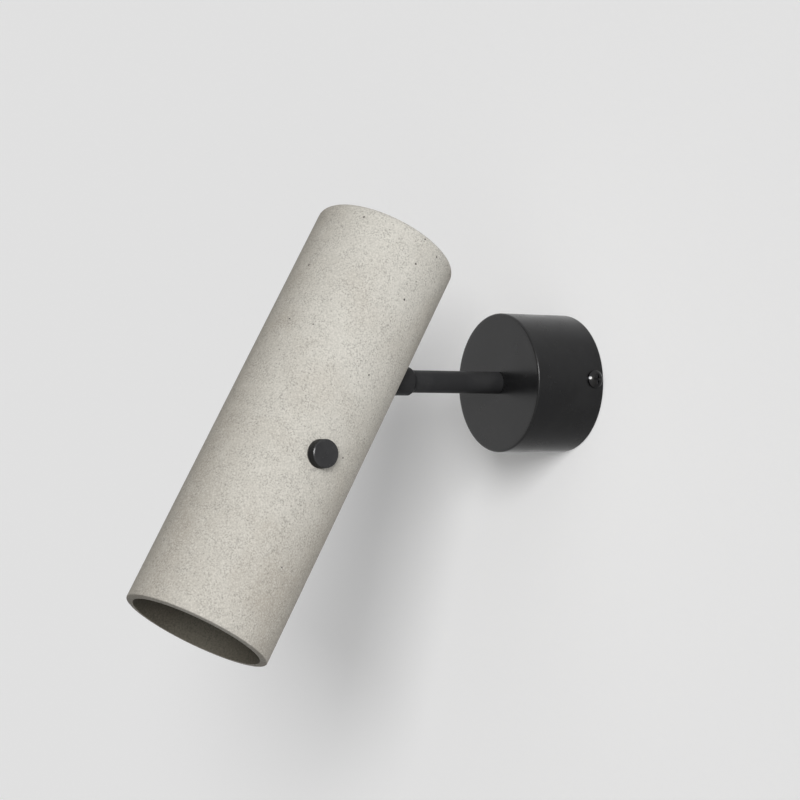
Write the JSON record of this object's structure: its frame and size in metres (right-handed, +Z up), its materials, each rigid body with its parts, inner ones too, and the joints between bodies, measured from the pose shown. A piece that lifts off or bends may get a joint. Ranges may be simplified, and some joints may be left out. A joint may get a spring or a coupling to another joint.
{
  "type": "wall spotlight",
  "caption": "Wall spotlight with a tilting concrete tube shade, open at the mouth, on a short arm that swivels in a round black wall canopy.",
  "frame": {"origin": "on the wall face at the centre of the canopy, on the arm's axis", "axes": "+Z up, +Y into the wall, -Y out into the room along the arm, +X to the right seen from the room"},
  "size_m": [0.0732, 0.2185, 0.1965],
  "materials": {
    "concrete": "fair-faced cast concrete, matt, fine grit and pinholes",
    "black_powder_coat": "satin black powder coat, fine texture",
    "knob_black": "satin black coat on a turned knob",
    "black_nickel": "bright black nickel",
    "zinc_plate": "zinc-plated sheet",
    "zinc_screw": "zinc-plated",
    "brass": "plain turned brass",
    "white_nylon": "natural nylon",
    "white_ceramic": "unglazed steatite",
    "lamp_white": "smooth white lamp body",
    "lamp_glass": "frosted lamp front",
    "lead_sheath": "white silicone sheath",
    "black_rubber": "matt rubber",
    "black_fibre": "pressed fibre"
  },
  "bodies": {
    "wall_canopy": {"backplate": "zinc_plate", "canopy": "black_powder_coat", "canopy_screws": "black_nickel", "cable_grommet": "black_rubber", "terminal_block": "white_nylon", "terminal_screws": "brass", "block_screw": "zinc_screw", "earth_screw": "brass", "earth_washer": "brass", "arm_bush": "brass", "canopy_lead": "lead_sheath"},
    "arm": {"arm_tube": "black_powder_coat", "stop_washer": "zinc_screw", "spring_washer": "zinc_screw", "arm_nut": "zinc_screw", "cord_grip": "white_nylon", "grip_screw": "white_nylon", "swivel_fork": "black_powder_coat", "arm_lead": "lead_sheath"},
    "head": {"swivel_yoke": "zinc_plate", "yoke_screws": "zinc_screw", "friction_washers": "white_nylon", "pivot_screws": "zinc_screw", "lamp_carrier": "zinc_plate", "knob_nuts": "zinc_screw", "lampholder": "white_ceramic", "lampholder_screws": "zinc_screw", "head_lead": "lead_sheath", "lamp_body": "lamp_white", "lamp_pins": "brass", "lamp_lens": "lamp_glass", "shade": "concrete", "knob_washers": "black_fibre"},
    "right_knob": {"right_knob": "knob_black"},
    "left_knob": {"left_knob": "knob_black"}
  },
  "joints": [
    {"name": "arm_swivel", "type": "hinge", "parent": "wall_canopy", "child": "arm", "pos_m": [0, -0.036, 0], "axis": [0, -1, 0], "range_deg": [-155, 155]},
    {"name": "head_tilt", "type": "hinge", "parent": "arm", "child": "head", "pos_m": [0, -0.104, 0], "axis": [-1, 0, 0], "range_deg": [-60.5, 14.5]},
    {"name": "right_knob_turn", "type": "hinge", "parent": "head", "child": "right_knob", "pos_m": [0.032, -0.14884, -0.03278], "axis": [1, 0, 0], "range_deg": [0, 360]},
    {"name": "left_knob_turn", "type": "hinge", "parent": "head", "child": "left_knob", "pos_m": [-0.032, -0.14884, -0.03278], "axis": [-1, 0, 0], "range_deg": [0, 360]}
  ]
}
